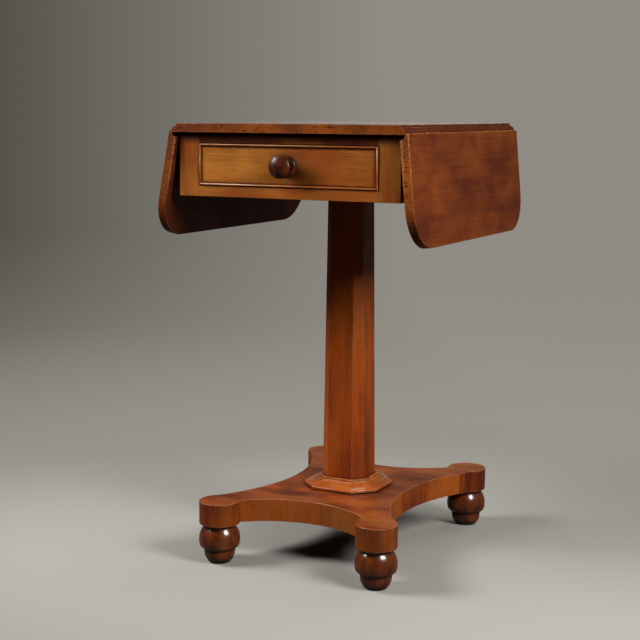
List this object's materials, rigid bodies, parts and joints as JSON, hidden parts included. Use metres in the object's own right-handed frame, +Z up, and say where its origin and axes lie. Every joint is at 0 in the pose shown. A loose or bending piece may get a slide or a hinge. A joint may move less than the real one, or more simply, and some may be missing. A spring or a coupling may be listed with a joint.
{
  "type": "pembroke table",
  "caption": "Small drop-leaf pedestal table: frame with a beaded drawer and hinged leaves on a tapered octagonal column, hollow-sided plinth and turned feet.",
  "frame": {"origin": "on the floor, under the axis of the column", "axes": "+Z up, +X to the right of someone who faces the drawer, the drawer opens along -Y"},
  "size_m": [0.4676, 0.517, 0.735],
  "materials": {
    "faded_mahogany": "french polished, sun faded",
    "red_mahogany": "french polished, worn at the arrises",
    "dark_mahogany": "turned and french polished",
    "pine": "planed, unfinished",
    "oak": "planed, unfinished",
    "beech": "planed, waxed",
    "iron": "wrought, dull"
  },
  "bodies": {
    "table_frame": {"top_board": "faded_mahogany", "post_front_left": "faded_mahogany", "post_front_right": "faded_mahogany", "post_back_left": "faded_mahogany", "post_back_right": "faded_mahogany", "front_top_rail": "faded_mahogany", "front_bottom_rail": "faded_mahogany", "back_rail": "faded_mahogany", "column": "red_mahogany", "column_collar": "red_mahogany", "base_plinth": "red_mahogany", "foot_front_left": "dark_mahogany", "foot_front_right": "dark_mahogany", "foot_back_left": "dark_mahogany", "foot_back_right": "dark_mahogany", "left_inner_side": "pine", "right_inner_side": "pine", "pedestal_bearer": "pine", "left_kicker": "pine", "right_kicker": "pine", "left_drawer_runner": "oak", "right_drawer_runner": "oak", "drawer_stops": "oak", "column_wedges": "oak", "left_fly_rail_front": "beech", "left_fly_rail_back": "beech", "right_fly_rail_front": "beech", "right_fly_rail_back": "beech", "left_hinge_top_flaps": "iron", "left_hinge_pins": "iron", "left_hinge_top_screws": "iron", "left_fly_pin": "iron", "right_hinge_top_flaps": "iron", "right_hinge_pins": "iron", "right_hinge_top_screws": "iron", "right_fly_pin": "iron", "top_fixing_screws": "iron", "bearer_screws": "iron"},
    "left_leaf_body": {"left_leaf": "red_mahogany", "left_hinge_leaf_flaps": "iron", "left_hinge_leaf_screws": "iron"},
    "right_leaf_body": {"right_leaf": "red_mahogany", "right_hinge_leaf_flaps": "iron", "right_hinge_leaf_screws": "iron"},
    "drawer": {"drawer_front": "faded_mahogany", "drawer_left_side": "oak", "drawer_right_side": "oak", "drawer_back": "pine", "drawer_bottom": "pine", "cock_bead_top": "faded_mahogany", "cock_bead_bottom": "faded_mahogany", "cock_bead_left": "faded_mahogany", "cock_bead_right": "faded_mahogany", "drawer_knob": "dark_mahogany"},
    "left_fly": {"left_fly_bracket": "beech"},
    "right_fly": {"right_fly_bracket": "beech"}
  },
  "joints": [
    {"name": "left_leaf_hinge", "type": "hinge", "parent": "table_frame", "child": "left_leaf_body", "pos_m": [-0.1955, 0, 0.7215], "axis": [0, 1, 0], "range_deg": [0, 79]},
    {"name": "right_leaf_hinge", "type": "hinge", "parent": "table_frame", "child": "right_leaf_body", "pos_m": [0.1955, 0, 0.7215], "axis": [0, -1, 0], "range_deg": [0, 84.5]},
    {"name": "drawer_slide", "type": "slide", "parent": "table_frame", "child": "drawer", "axis": [0, -1, 0], "range_m": [0, 0.28]},
    {"name": "left_fly_swing", "type": "hinge", "parent": "table_frame", "child": "left_fly", "pos_m": [-0.17965, -0.075, 0.6693], "axis": [0, 0, 1], "range_deg": [0, 2]},
    {"name": "right_fly_swing", "type": "hinge", "parent": "table_frame", "child": "right_fly", "pos_m": [0.17965, -0.075, 0.6693], "axis": [0, 0, -1], "range_deg": [0, 2]}
  ]
}
